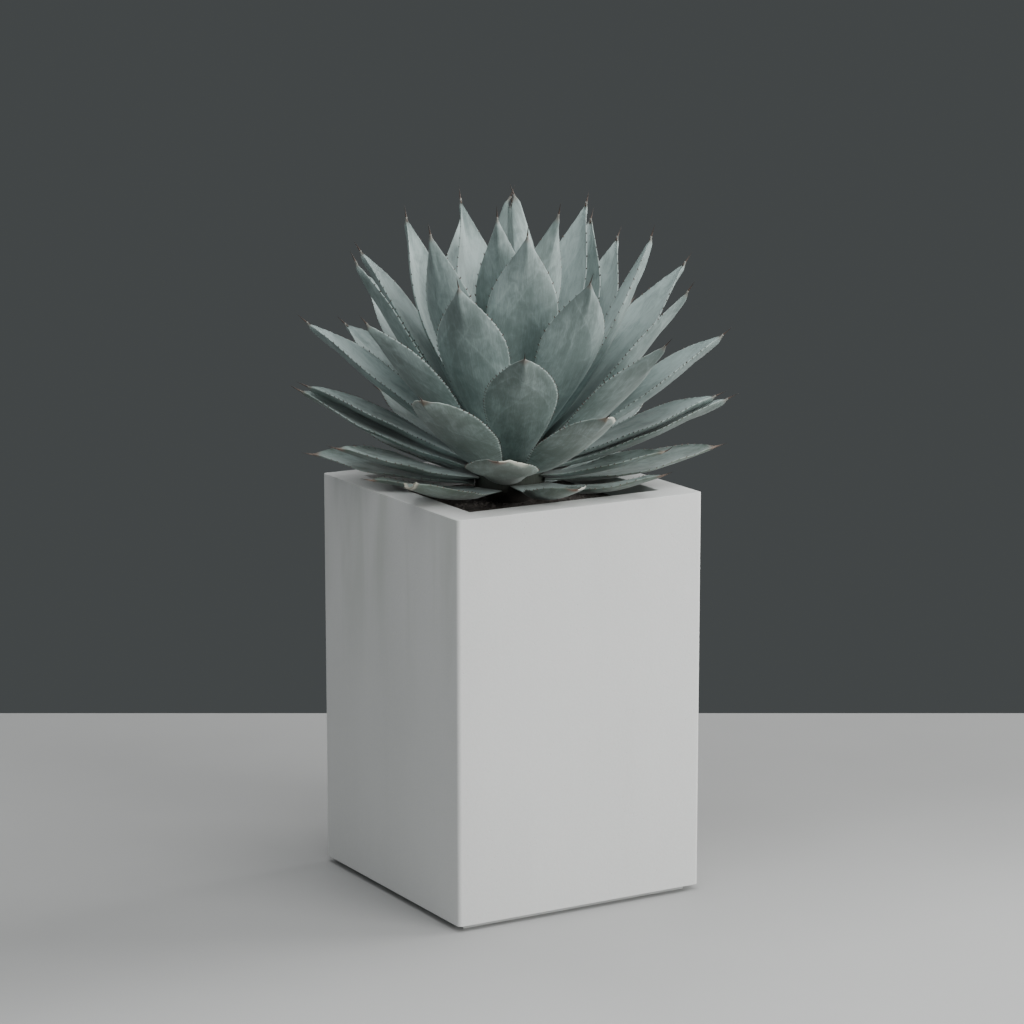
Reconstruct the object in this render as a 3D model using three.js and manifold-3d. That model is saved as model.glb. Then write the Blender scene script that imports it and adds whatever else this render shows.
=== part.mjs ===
// A potted agave: a tall square planter on a recessed plinth, a bed of soil, a short stem and a
// rosette of thick channelled leaves, each with toothed margins and one end spine.
// Millimetres, +Z up, the underside of the plinth on z = 0.
import * as THREE from 'three';
import { mergeVertices } from 'three/addons/utils/BufferGeometryUtils.js';
import Module from 'manifold-3d';

const wasm = await Module();
wasm.setup();

// ---- planter and soil ------------------------------------------------------------------------
const SIDE = 322;           // outside width of the square planter
const BODY_H = 468;         // height of the planter above its plinth
const PLINTH_H = 7;         // height of the recessed plinth
const PLINTH_INSET = 13;    // how far the plinth stands back from the faces
const WALL = 36.5;          // width of the flat lip and of the wall
const FLOOR = 36;           // thickness of the planter's floor
const EDGE = 3;             // rounding of the planter's edges
const CORNER = 1.2;         // extra rounding of its upright corners
const RIM = PLINTH_H + BODY_H;      // height of the lip
const SOIL_DROP = 24;       // soil below the lip at the walls
const SOIL_RISE = 5;        // how much the soil rises towards the stem
const GAP = 0.3;            // clearance between separate bodies

// ---- stem ------------------------------------------------------------------------------------
const STEM_R = 25;          // radius where the stem enters the soil
const STEM_DEPTH = 55;      // length of stem below the surface of the soil

// ---- leaves ----------------------------------------------------------------------------------
const ROSETTE_TURN = -30.4; // how the rosette stands turned in the square planter, degrees
const BASE_LOW = -4;        // height of the lowest leaf base from the lip
const BASE_HIGH = 66;       // height of the highest leaf base above the lip
const BASE_LIFT = 1;        // how much more the innermost leaf is raised, clear of the stem
const BASE_R = 41;          // how far the lowest bases stand from the axis
const BASE_R_TOP = 6;       // how far the highest bases stand from the axis
const STATIONS = [0, 0.11, 0.24, 0.37, 0.5, 0.62, 0.73, 0.83, 0.925, 1];
const ACROSS = [-1, -0.5, 0, 0.5, 1];
const FIRST_TOOTH = 3;      // first stretch between two stations that has a tooth
const TOOTH_HALF = 2.2;     // half length of a tooth along the margin
const TOOTH_OUT = 2.6;      // how far a tooth stands out
const MARGIN = 1.3;         // thickness of the leaf's margin
const SPINE = 12;           // length of an end spine
const SPINE_R = 1.25;       // half width of an end spine at its root

// One row for each leaf, outermost first: turn and mean rise in degrees, change of rise from base
// to tip in degrees, length with the spine, greatest width, how slowly it narrows to its tip and,
// for some, how far the middle bows sideways and how many degrees the blade twists.
const LEAVES = [
  [201, 9, 12, 143, 50, 1, 2, 4],
  [34, 6, 0, 180, 60, 1.1],
  [235, 10, 22, 162, 62, 0.6],
  [100, 6, 0, 190, 60, 1.1],
  [179, 9.5, -2, 202, 70, 1, 4, -14],
  [328, 10.5, 32, 180, 54, 1, -3],
  [295, 9.5, 34, 150, 64, 0.7],
  [60, 7, -4, 195, 62, 1.1],
  [149, 15, 3, 196, 66, 1.1, 4, -3],
  [-2, 11, 18, 214, 74, 1, -4, 7],
  [267, 17, 4, 222, 84, 0.75],
  [192, 13.5, 12, 178, 76, 0.9, 8],
  [84, 14, -6, 218, 76, 1.1],
  [345, 13.5, 18, 159, 54, 1, -1, 6],
  [134, 20, -4, 210, 74, 1.1],
  [46, 15.5, -6, 219, 76, 1.1],
  [180, 24.5, 7, 234, 84, 1.1, 1, -8],
  [296, 26, 12, 234, 88, 0.8, 4, 6],
  [357, 21.5, 14, 239, 82, 1.1],
  [247, 29.5, 14, 247, 94, 0.75, 2, -6],
  [112, 24, -6, 236, 84, 1.1],
  [66, 28, -6, 240, 84, 1.1],
  [180, 24.5, -2, 226, 78, 1.05, 6],
  [274, 40, 4, 253, 84, 0.9, 2],
  [0, 21, 9, 225, 78, 1.1, -7, 4],
  [317, 39, 10, 263, 82, 1.05, 8, 4],
  [91, 32, -6, 248, 84, 1.2],
  [146, 34.5, 1, 252, 84, 1.15, 6, -6],
  [222, 45, 2, 261, 82, 1.15, -3, -3],
  [2, 34, 14, 263, 86, 1.1, -5, 5],
  [109, 40, -4, 252, 84, 1.2],
  [178, 37.5, 6, 261, 78, 1.2, 2, -6],
  [48, 40, -6, 246, 84, 1.2],
  [344, 48.5, 16, 273, 78, 1.2, 1, 4],
  [252, 56, 7, 269, 86, 1.15, -5],
  [141, 45, -2, 274, 84, 1.15, 14],
  [194, 57, 13, 278, 62, 1.15, -2],
  [21, 48, 10, 288, 74, 1.2, -8, 11],
  [82, 49, -4, 256, 84, 1.2],
  [300, 56, 7, 264, 82, 1.1, 13, -5],
  [163, 55.5, 0, 275, 78, 1.1, 8, 4],
  [46, 56.5, 10, 280, 72, 1.2, -16],
  [229, 68, 13, 285, 78, 1.15, -5],
  [359, 61.5, 27, 285, 68, 1.2, -2, 6],
  [90, 56, 0, 262, 56, 1.25, 3],
  [279, 69, 4, 280, 84, 1.15, 1, -3],
  [174, 70.5, 25, 283, 76, 1.15, 0, -22],
  [114, 66, 3, 278, 76, 1.2, 12, -5],
  [50, 63.5, 11, 278, 74, 1.05, -16, 2],
  [303, 73.5, 3, 288, 68, 1.15, -9],
  [125, 73.5, 9, 285, 72, 1.3, -3, 10],
  [41, 69.5, 8, 287, 70, 1.2, -2, 7],
  [261, 74.5, 4, 280, 64, 1.2, 1],
  [79, 92, 46, 279, 66, 1],
  [210, 94, 46, 284, 80, 1],
  [330, 90.5, 50, 288, 86, 1],
];

// ---- helpers ---------------------------------------------------------------------------------
const rad = (degrees) => (degrees * Math.PI) / 180;
const mix = (a, b, k) => a + (b - a) * k;
const ease = (k) => { const c = Math.min(1, Math.max(0, k)); return c * c * (3 - 2 * c); };

/** A closed solid of plain triangles from a three.js geometry. */
function solidOf(geometry) {
  const bare = geometry.index ? geometry.toNonIndexed() : geometry.clone();
  bare.deleteAttribute('normal');
  bare.deleteAttribute('uv');
  const welded = mergeVertices(bare, 1e-4);
  return new wasm.Manifold(new wasm.Mesh({
    numProp: 3,
    vertProperties: Float32Array.from(welded.attributes.position.array),
    triVerts: Uint32Array.from(welded.index.array),
  }));
}

/** The three.js geometry of a closed solid. */
function geometryOf(solid) {
  const mesh = solid.getMesh();
  const geometry = new THREE.BufferGeometry();
  geometry.setAttribute('position', new THREE.BufferAttribute(mesh.vertProperties, 3));
  geometry.setIndex(new THREE.BufferAttribute(mesh.triVerts, 1));
  return geometry;
}

/** A named mesh with its own material. */
function piece(name, geometry, colour, roughness, metalness = 0) {
  const material = new THREE.MeshStandardMaterial({ color: colour, roughness, metalness });
  const mesh = new THREE.Mesh(geometry, material);
  mesh.name = name;
  return mesh;
}

/** The outline of a square with rounded corners. */
function roundedSquare(side, corner, Kind = THREE.Shape) {
  const h = side / 2;
  const outline = new Kind();
  outline.moveTo(h - corner, -h);
  outline.absarc(h - corner, -h + corner, corner, -Math.PI / 2, 0, false);
  outline.absarc(h - corner, h - corner, corner, 0, Math.PI / 2, false);
  outline.absarc(-h + corner, h - corner, corner, Math.PI / 2, Math.PI, false);
  outline.absarc(-h + corner, -h + corner, corner, Math.PI, Math.PI * 1.5, false);
  return outline;
}

/** An upright block with rounded corners and softened top and bottom edges. */
function block(side, corner, edge, low, high) {
  const depth = high - low - 2 * edge;
  const geometry = new THREE.ExtrudeGeometry(roundedSquare(side - 2 * edge, corner), {
    depth, curveSegments: 2, bevelEnabled: edge > 0,
    bevelThickness: edge, bevelSize: edge, bevelSegments: 2,
  });
  return solidOf(geometry.translate(0, 0, low + edge));
}

// ---- planter, soil and stem --------------------------------------------------------------------
/** The planter: a thick-walled square box with a flat lip, on a recessed plinth. */
function planter() {
  const body = block(SIDE, CORNER, EDGE, PLINTH_H, RIM);
  const plinth = block(SIDE - 2 * PLINTH_INSET, CORNER, 0, 0, PLINTH_H + 10);
  const inside = block(SIDE - 2 * WALL, 2, 0, PLINTH_H + FLOOR, RIM + 10);
  return geometryOf(body.add(plinth).subtract(inside));
}

/** The soil: fills the planter, a little higher towards the stem, with a plain hole for it. */
function soil() {
  const side = SIDE - 2 * WALL - 2 * GAP;
  const low = PLINTH_H + FLOOR + GAP;
  const top = RIM - SOIL_DROP;
  const bed = block(side, 2, 0, low, top);
  const mound = new THREE.CylinderGeometry(60, 118, SOIL_RISE + 4, 20, 1);
  mound.rotateX(Math.PI / 2).translate(0, 0, top + (SOIL_RISE + 4) / 2 - 4);
  const bore = (STEM_R + GAP) / Math.cos(Math.PI / 28);
  const hole = new THREE.CylinderGeometry(bore, bore, 200, 28, 1);
  hole.rotateX(Math.PI / 2).translate(0, 0, top - STEM_DEPTH - GAP + 100);
  return geometryOf(bed.add(solidOf(mound)).subtract(solidOf(hole)));
}

/** The stem: a short rounded stump that carries the leaf bases. */
function stem() {
  const low = RIM - SOIL_DROP - STEM_DEPTH;
  const profile = [[0, low], [STEM_R - 4, low], [STEM_R, low + 4], [STEM_R, RIM - 17]];
  for (const seat of [0, 0.3, 0.5, 0.65, 0.78, 0.88, 0.95, 1]) {
    const base = baseOf(seat);
    profile.push([base.r - GAP, RIM + base.z]);
  }
  profile.push([0, RIM + BASE_HIGH + 3]);
  const points = profile.map(([r, z]) => new THREE.Vector2(r, z));
  return geometryOf(solidOf(new THREE.LatheGeometry(points, 20).rotateX(Math.PI / 2)));
}

// ---- leaves --------------------------------------------------------------------------------------
/** Where a leaf of one seat starts, seat 0 the outermost and 1 the innermost. */
function baseOf(seat) {
  return {
    r: BASE_R_TOP + (BASE_R - BASE_R_TOP) * Math.sqrt(Math.max(0, 1 - seat ** 2.4)),
    z: mix(BASE_LOW, BASE_HIGH, seat ** 0.95),
  };
}

/** Half the width of a leaf, as a share of its greatest, at a share of the blade's length. */
function breadth(t, taper) {
  const widest = 0.62;
  if (t < widest) return mix(0.38, 1, 0.5 - 0.5 * Math.cos((Math.PI * t) / widest));
  const v = (1 - t) / (1 - widest);
  return Math.sin((Math.PI / 2) * v ** taper);
}

/** The frames and section sizes of a leaf at the given shares of its blade. */
function sections(row, seat, stations) {
  const [turn, rise, bend, length, width, taper, sway = 0, roll = 0] = row;
  const base = baseOf(seat);
  const blade = length - SPINE;
  const around = rad(turn + ROSETTE_TURN);
  const out = new THREE.Vector3(Math.cos(around), Math.sin(around), 0);
  const side = new THREE.Vector3(-Math.sin(around), Math.cos(around), 0);
  const up = new THREE.Vector3(0, 0, 1);
  const at = (s) => {
    // middle line: an arc from the base, s is the distance along it
    const steps = 12;
    let r = base.r;
    let z = RIM + base.z + (seat === 1 ? BASE_LIFT : 0);
    for (let i = 0; i < steps; i += 1) {
      const angle = rad(rise + bend * (((i + 0.5) / steps) * (s / length) - 0.5));
      r += (Math.cos(angle) * s) / steps;
      z += (Math.sin(angle) * s) / steps;
    }
    const angle = rad(rise + bend * (s / length - 0.5));
    return { r, z, angle };
  };
  return stations.map((t) => {
    const { r, z, angle } = at(t * blade);
    const share = (t * blade) / length;
    const wide = Math.max(SPINE_R, (width / 2) * breadth(t, taper));
    const half = rise > 85 ? Math.min(wide, Math.max(0.9 * r, SPINE_R)) : wide;
    const wrap = Math.min(2.2, (half * Math.sin(Math.max(angle, 0.02))) / Math.max(r, 4));
    const fold = mix(0.5, 0.75, ease((t - 0.6) / 0.4)) * (t > 0.97 ? 0.2 : 1);
    const bow = Math.max(wrap, mix(wrap, fold, ease((t - 0.08) / 0.45)));
    const thick = t < 0.25 ? mix(4.4, 8.5, ease(t / 0.25)) : mix(8.5, 3, ease((t - 0.25) / 0.7));
    const along = out.clone().multiplyScalar(Math.cos(angle)).addScaledVector(up, Math.sin(angle));
    const flat = out.clone().multiplyScalar(-Math.sin(angle)).addScaledVector(up, Math.cos(angle));
    const twist = rad(roll) * ease(t / 0.6);
    return {
      centre: out.clone().multiplyScalar(r).addScaledVector(up, z)
        .addScaledVector(side, 4 * sway * share * (1 - share)),
      along,
      normal: flat.clone().applyAxisAngle(along, twist),
      side: side.clone().applyAxisAngle(along, twist),
      half, bow,
      thick: Math.min(thick * Math.min(1, width / 80), t > 0.97 ? 2 * SPINE_R : 99),
    };
  });
}

/** A point of a leaf's section: u from margin to margin, k 0 on the upper face and 1 below. */
function sectionPoint(section, u, k) {
  const { centre, normal, side, half, bow, thick } = section;
  const turn = bow * u;
  const across = (half * Math.sin(turn)) / bow;
  const lift = (half * (1 - Math.cos(turn))) / bow;
  const margin = Math.min(MARGIN, thick);
  const depth = k * mix(margin, thick, 1 - Math.abs(u) ** 2);
  return centre.clone()
    .addScaledVector(side, across + depth * Math.sin(turn))
    .addScaledVector(normal, lift - depth * Math.cos(turn));
}

/** One leaf as a closed solid: blade, margin teeth and end spine. */
function leaf(row, seat) {
  const rings = sections(row, seat, STATIONS);
  const points = [];
  const faces = [];
  const add = (p) => points.push(p.x, p.y, p.z) / 3 - 1;
  const last = ACROSS.length - 1;
  // ring order: upper face from left to right, then lower face from left to right
  const grid = rings.map((ring) => [0, 1].map((k) => ACROSS.map((u) => add(sectionPoint(ring, u, k)))));
  const vertex = (i) => new THREE.Vector3(points[3 * i], points[3 * i + 1], points[3 * i + 2]);
  const tri = (a, b, c, flip) => faces.push(...(flip ? [a, b, c] : [a, c, b]));
  for (let i = 0; i < rings.length - 1; i += 1) {
    const toothed = i >= FIRST_TOOTH && i < rings.length - 2;
    const cuts = [0, last].map((j) => {
      if (!toothed) return null;
      const ends = [0, 1].map((k) => [vertex(grid[i][k][j]), vertex(grid[i + 1][k][j])]);
      const span = ends[0][0].distanceTo(ends[0][1]);
      const share = TOOTH_HALF / span;
      const [p, q] = [0.55 - share, 0.55 + share].map((s) => ends.map(([a, b]) => (
        add(a.clone().lerp(b, s)))));
      const outward = ends[0][0].clone().sub(vertex(grid[i][0][j === 0 ? 1 : last - 1]));
      const run = ends[0][1].clone().sub(ends[0][0]).normalize();
      outward.addScaledVector(run, -outward.dot(run)).normalize();
      const tip = ends[0][0].clone().lerp(ends[0][1], 0.55).lerp(
        ends[1][0].clone().lerp(ends[1][1], 0.55), 0.5).addScaledVector(outward, TOOTH_OUT);
      return { p, q, tip: add(tip) };
    });
    for (const k of [0, 1]) {
      for (let j = 0; j < last; j += 1) {
        const [a, b, c, d] = [grid[i][k][j], grid[i][k][j + 1], grid[i + 1][k][j + 1], grid[i + 1][k][j]];
        const under = k === 1;
        if (toothed && j === 0) {
          const { p, q } = cuts[0];
          tri(a, b, p[k], under); tri(p[k], b, q[k], under);
          tri(q[k], b, c, under); tri(q[k], c, d, under);
        } else if (toothed && j === last - 1) {
          const { p, q } = cuts[1];
          tri(a, b, p[k], under); tri(a, p[k], q[k], under);
          tri(a, q[k], d, under); tri(d, q[k], c, under);
        } else if (j < last / 2) {
          tri(a, b, c, under); tri(a, c, d, under);
        } else {
          tri(a, b, d, under); tri(b, c, d, under);
        }
      }
    }
    for (const [n, j] of [[0, 0], [1, last]]) {
      const [a, b] = [grid[i][0][j], grid[i][1][j]];
      const [c, d] = [grid[i + 1][1][j], grid[i + 1][0][j]];
      const flip = n === 1;
      if (toothed) {
        const { p, q, tip } = cuts[n];
        tri(a, p[0], b, flip); tri(p[0], p[1], b, flip);
        tri(p[0], q[0], tip, flip); tri(q[0], q[1], tip, flip);
        tri(q[1], p[1], tip, flip); tri(p[1], p[0], tip, flip);
        tri(q[0], d, c, flip); tri(q[0], c, q[1], flip);
      } else {
        tri(a, d, c, flip); tri(a, c, b, flip);
      }
    }
  }
  // base cap and the spine's point
  const first = grid[0];
  for (let j = 0; j < last; j += 1) {
    tri(first[0][j], first[1][j], first[1][j + 1], false);
    tri(first[0][j], first[1][j + 1], first[0][j + 1], false);
  }
  const end = rings[rings.length - 1];
  const tip = add(end.centre.clone().addScaledVector(end.along, SPINE)
    .addScaledVector(end.normal, -SPINE_R));
  const top = grid[rings.length - 1];
  for (let j = 0; j < last; j += 1) {
    tri(top[0][j], top[0][j + 1], tip, false);
    tri(top[1][j + 1], top[1][j], tip, false);
  }
  tri(top[1][0], top[0][0], tip, false);
  tri(top[0][last], top[1][last], tip, false);
  const geometry = new THREE.BufferGeometry();
  geometry.setAttribute('position', new THREE.BufferAttribute(Float32Array.from(points), 3));
  geometry.setIndex(faces);
  return geometry;
}

// ---- the whole plant -----------------------------------------------------------------------------
const model = new THREE.Group();
model.name = 'potted_agave';
model.add(piece('planter', planter(), 0xb9bbba, 0.6));
model.add(piece('soil', soil(), 0x24211f, 0.95));
model.add(piece('stem', stem(), 0x7d8a6d, 0.8));
LEAVES.forEach((row, i) => {
  const name = `leaf_${String(i + 1).padStart(2, '0')}`;
  const colour = i < 14 ? 0x6f8276 : 0x7f9695;
  model.add(piece(name, leaf(row, i / (LEAVES.length - 1)), colour, 0.6));
});

export default model;
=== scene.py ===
"""Looks of a potted agave: a cast square planter, dark potting mix, a stump and a toothed rosette.

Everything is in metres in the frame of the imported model, +Z up, the plinth's underside at z = 0.
"""

import logging
import math
import random
from dataclasses import dataclass, field
from enum import Enum
from typing import Any, Callable, Iterable, Sequence

import bmesh
import bpy
from mathutils import Matrix, Vector, noise


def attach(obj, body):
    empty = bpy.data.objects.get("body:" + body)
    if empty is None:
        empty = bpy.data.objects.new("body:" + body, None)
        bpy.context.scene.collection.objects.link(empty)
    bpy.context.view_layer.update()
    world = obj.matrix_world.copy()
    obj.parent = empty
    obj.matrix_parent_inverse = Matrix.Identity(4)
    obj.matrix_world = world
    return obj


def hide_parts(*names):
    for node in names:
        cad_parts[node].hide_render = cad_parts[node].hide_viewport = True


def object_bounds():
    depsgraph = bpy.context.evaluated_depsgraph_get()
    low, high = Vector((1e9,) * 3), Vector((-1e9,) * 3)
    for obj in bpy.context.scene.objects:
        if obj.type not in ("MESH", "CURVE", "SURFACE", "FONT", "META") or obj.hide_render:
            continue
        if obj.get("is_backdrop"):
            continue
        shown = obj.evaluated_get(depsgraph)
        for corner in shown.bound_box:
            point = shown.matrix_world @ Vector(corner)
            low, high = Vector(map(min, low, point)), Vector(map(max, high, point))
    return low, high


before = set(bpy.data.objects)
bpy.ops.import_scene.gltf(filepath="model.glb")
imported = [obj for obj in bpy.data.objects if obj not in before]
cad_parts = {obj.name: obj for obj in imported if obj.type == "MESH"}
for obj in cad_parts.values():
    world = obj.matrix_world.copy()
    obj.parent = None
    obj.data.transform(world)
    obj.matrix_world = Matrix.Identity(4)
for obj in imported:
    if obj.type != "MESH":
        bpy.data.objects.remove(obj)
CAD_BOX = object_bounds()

log = logging.getLogger("potted_agave")

MM = 0.001
Colour = tuple[float, float, float]


# ---- shader expressions ---------------------------------------------------------------------


class Flow:
    """A shader socket that takes part in Python sums."""

    def __init__(self, tree: bpy.types.NodeTree, socket: bpy.types.NodeSocket) -> None:
        """Keep the tree and the output socket."""
        self.tree, self.socket = tree, socket

    def output(self, name: str) -> "Flow":
        """Another output of the same node."""
        return Flow(self.tree, self.socket.node.outputs[name])

    def maths(self, operation: str, *values: Any) -> "Flow":
        """Add a Math node.

        Args:
            operation: the node's operation.
            values: flows or numbers for its sockets, in order.

        Returns:
            The node's result.
        """
        node = self.tree.nodes.new("ShaderNodeMath")
        node.operation = operation
        for slot, value in zip(node.inputs, values):
            if isinstance(value, Flow):
                self.tree.links.new(value.socket, slot)
            else:
                slot.default_value = value
        return Flow(self.tree, node.outputs[0])

    def __add__(self, other: Any) -> "Flow":
        """Sum."""
        return self.maths("ADD", self, other)

    __radd__ = __add__

    def __sub__(self, other: Any) -> "Flow":
        """Difference."""
        return self.maths("SUBTRACT", self, other)

    def __rsub__(self, other: Any) -> "Flow":
        """Difference from a number."""
        return self.maths("SUBTRACT", other, self)

    def __mul__(self, other: Any) -> "Flow":
        """Product."""
        return self.maths("MULTIPLY", self, other)

    __rmul__ = __mul__

    def __abs__(self) -> "Flow":
        """Absolute value."""
        return self.maths("ABSOLUTE", self)

    def step(self, low: float, high: float) -> "Flow":
        """A smooth step from 0 at low to 1 at high; low may be the greater one.

        Args:
            low: value that gives 0.
            high: value that gives 1.

        Returns:
            The step, between 0 and 1.
        """
        node = self.tree.nodes.new("ShaderNodeMapRange")
        node.interpolation_type = "SMOOTHSTEP"
        self.tree.links.new(self.socket, node.inputs["Value"])
        rising = low < high
        node.inputs["From Min"].default_value = low if rising else high
        node.inputs["From Max"].default_value = high if rising else low
        node.inputs["To Min"].default_value = 0.0 if rising else 1.0
        node.inputs["To Max"].default_value = 1.0 if rising else 0.0
        return Flow(self.tree, node.outputs["Result"])


class Finish:
    """A material on one Principled shader, built from flows."""

    def __init__(self, name: str, **uniform: float) -> None:
        """Start a material.

        Args:
            name: the material's name.
            uniform: plain values of the shader's sockets, spaces written as underscores.
        """
        self.material = bpy.data.materials.new(name)
        self.material.use_nodes = True
        self.tree = self.material.node_tree
        self.shader = self.tree.nodes["Principled BSDF"]
        for key, value in uniform.items():
            self.shader.inputs[key.replace("_", " ")].default_value = value

    def node(self, kind: str, settings: dict[str, Any] | None = None,
             inputs: dict[str | int, Any] | None = None, out: str | int = 0) -> Flow:
        """Add any node.

        Args:
            kind: node type without the ShaderNode prefix.
            settings: the node's own properties, set first.
            inputs: values or flows for its sockets.
            out: which output to return.

        Returns:
            The chosen output.
        """
        node = self.tree.nodes.new("ShaderNode" + kind)
        for key, value in (settings or {}).items():
            setattr(node, key, value)
        for key, value in (inputs or {}).items():
            if isinstance(value, Flow):
                self.tree.links.new(value.socket, node.inputs[key])
            elif value is not None:
                node.inputs[key].default_value = value
        return Flow(self.tree, node.outputs[out])

    def place(self) -> Flow:
        """Object coordinates, which are metres in the model's own frame."""
        return self.node("TexCoord", None, None, "Object")

    def attribute(self, name: str) -> tuple[Flow, Flow]:
        """Read a colour attribute.

        Args:
            name: the attribute.

        Returns:
            The whole colour, whose node also gives Alpha, and its red, whose node also gives Green
            and Blue.
        """
        whole = self.node("Attribute", {"attribute_name": name}, None, "Color")
        return whole, self.node("SeparateColor", None, {0: whole})

    def noise(self, vector: Flow, scale: float, detail: float = 3.0, rough: float = 0.5,
              warp: float = 0.0) -> Flow:
        """Fractal noise on a vector.

        Args:
            vector: where to read it.
            scale: cells for each metre of the vector.
            detail: octaves.
            rough: strength of the finer octaves.
            warp: distortion.

        Returns:
            Values about 0.5.
        """
        return self.node("TexNoise", None, {
            "Vector": vector, "Scale": scale, "Detail": detail, "Roughness": rough,
            "Distortion": warp})

    def stretch(self, vector: Flow, scale: Sequence[float],
                shift: Flow | None = None) -> Flow:
        """A vector scaled by axis, then moved.

        Args:
            vector: the vector.
            scale: factor for each axis.
            shift: what to add, or nothing.

        Returns:
            The new vector.
        """
        scaled = self.node("VectorMath", {"operation": "MULTIPLY"}, {0: vector, 1: tuple(scale)})
        if shift is None:
            return scaled
        return self.node("VectorMath", {"operation": "ADD"}, {0: scaled, 1: shift})

    def blend(self, factor: Any, low: Any, high: Any) -> Flow:
        """A colour between two.

        Args:
            factor: 0 for low, 1 for high.
            low: colour or flow.
            high: colour or flow.

        Returns:
            The mixed colour.
        """
        def full(value: Any) -> Any:
            """A colour with its alpha, or the flow as it is."""
            return value if isinstance(value, Flow) else (*value, 1.0)

        return self.node("Mix", {"data_type": "RGBA", "clamp_factor": True},
                         {0: factor, 6: full(low), 7: full(high)}, 2)

    def relief(self, height: Flow, distance: float, strength: float) -> None:
        """Drive the normal by a height.

        Args:
            height: the height, 0 to 1.
            distance: how many metres one unit of height is.
            strength: share of the effect.
        """
        bump = self.node("Bump", None, {"Height": height, "Distance": distance,
                                        "Strength": strength})
        self.drive("Normal", bump)

    def drive(self, socket: str, flow: Flow) -> None:
        """Link a flow to one of the shader's sockets."""
        self.tree.links.new(flow.socket, self.shader.inputs[socket])


# ---- finishes -------------------------------------------------------------------------------


@dataclass(frozen=True)
class WaxyLeaf:
    """Grey-green leaf skin under a powdery bloom, greener at its base and pale along its margin as a
    painted highlight; painted shade darkens the very base and painted light makes the upper face
    paler.

    The blade's own map is in metres across and along, so the cells of a pattern are counted for
    each metre. The imprint map is in millimetres outside the outlines of two pressed neighbours.
    """

    bloom: Colour = (0.375, 0.462, 0.450)
    skin: Colour = (0.152, 0.200, 0.190)
    green: Colour = (0.078, 0.108, 0.072)
    painted_base_shade: Colour = (0.045, 0.058, 0.042)
    margin: Colour = (0.44, 0.51, 0.47)
    tip: Colour = (0.13, 0.11, 0.09)
    old_tip: Colour = (0.16, 0.105, 0.08)
    dry: Colour = (0.56, 0.57, 0.48)
    scar: Colour = (0.13, 0.085, 0.05)
    cloud_cells: tuple[float, float] = (34, 13)
    blotch_cells: tuple[float, float] = (62, 44)
    streak_cells: tuple[float, float] = (190, 11)
    fine_cells: tuple[float, float] = (900, 120)
    speck_cells: tuple[float, float] = (1500, 1500)
    seed_spread: float = 53.0
    even_bloom: float = 0.54
    full_bloom: float = 1.1
    left_line: float = 2.2
    right_line: float = 1.8
    print_edge: tuple[float, float] = (1.5, -5.0)
    depth: float = 1.1 * MM

    def make(self) -> bpy.types.Material:
        """The material, from the leaf's own maps and attributes."""
        f = Finish("waxy_leaf", Roughness=0.6, Specular_IOR_Level=0.35, Sheen_Weight=0.12,
                   Sheen_Roughness=0.5)
        uv = f.node("UVMap", {"uv_map": "blade"})
        state, along = f.attribute("state")
        edge, age = along.output("Green"), along.output("Blue")
        dry = f.attribute("wear_and_lit_face")[1]
        scar, upper = dry.output("Green"), dry.output("Blue")
        shift = f.node("CombineXYZ", None, {2: state.output("Alpha") * self.seed_spread})

        def pattern(cells: tuple[float, float], *settings: float) -> Flow:
            """Noise on the blade's map that differs from leaf to leaf."""
            return f.noise(f.stretch(uv, (*cells, 1), shift), 1.0, *settings)

        cloud = pattern(self.cloud_cells, 4.0, 0.55, 0.6)
        blotch = pattern(self.blotch_cells, 5.0, 0.62, 0.9)
        streak = pattern(self.streak_cells, 3.0, 0.6)
        fine = pattern(self.fine_cells, 2.0)
        speck = pattern(self.speck_cells, 1.0)
        left = f.node("SeparateXYZ", None, {0: f.node("UVMap", {"uv_map": "imprint"})})
        right = left.output("Y")
        lines = (1.0 - abs(left).step(0.0, self.left_line)) + 0.7 * (
            1.0 - abs(right).step(0.0, self.right_line))
        inside = left.step(*self.print_edge) + right.step(*self.print_edge)
        # rubbed off in patches, thinner to the tip and margin; paler low down, partly as the real
        # paler base and partly as painted light against the shade deep in the rosette; paler on the
        # upper face as painted light
        bloom = (self.even_bloom + (cloud - 0.5) * 0.9 + (blotch - 0.5) * 0.9
                 + (streak - 0.5) * 0.5 + (fine - 0.5) * 0.5 + lines * 0.10 - inside * 0.12
                 + upper * 0.33 + along.step(0.55, 0.15) * 0.34 - along.step(0.65, 0.95) * 0.22
                 - age * 0.14 - edge.step(0.7, 1.0) * 0.1).step(0.0, self.full_bloom)
        skin = f.blend(age * 0.7 + along.step(0.22, 0.02) * 0.5, self.skin, self.green)
        # painted highlight: a thin pale line along the margin, away from the base and the tip
        margin = edge.step(0.968, 0.995) * along.step(0.1, 0.3) * along.step(0.985, 0.94)
        colour = f.blend(bloom, skin, self.bloom)
        for share, tint in (
                # painted shade: the lowest part of each blade darkened where the inner leaves shade
                # it
                (along.step(0.13, 0.0) * 0.7, self.painted_base_shade),
                (speck.step(0.66, 0.78) * 0.18, self.margin),
                (margin * 0.25, self.margin),
                (along.step(0.96, 0.99) * 0.7, self.tip),
                (along.step(0.94, 0.985) * age.step(0.6, 0.95) * 0.8, self.old_tip),
                (dry * (0.7 + cloud * 0.5), self.dry),
                (scar * (0.5 + streak * 0.8), self.scar)):
            colour = f.blend(share, colour, tint)
        f.drive("Base Color", colour)
        f.drive("Roughness", 0.50 + bloom * 0.16 + (fine - 0.5) * 0.12)
        f.relief(streak * 0.3 + fine * 0.22 + cloud * 0.6 + lines * 0.08 - inside * 0.06,
                 self.depth, 0.55)
        return f.material


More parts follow.
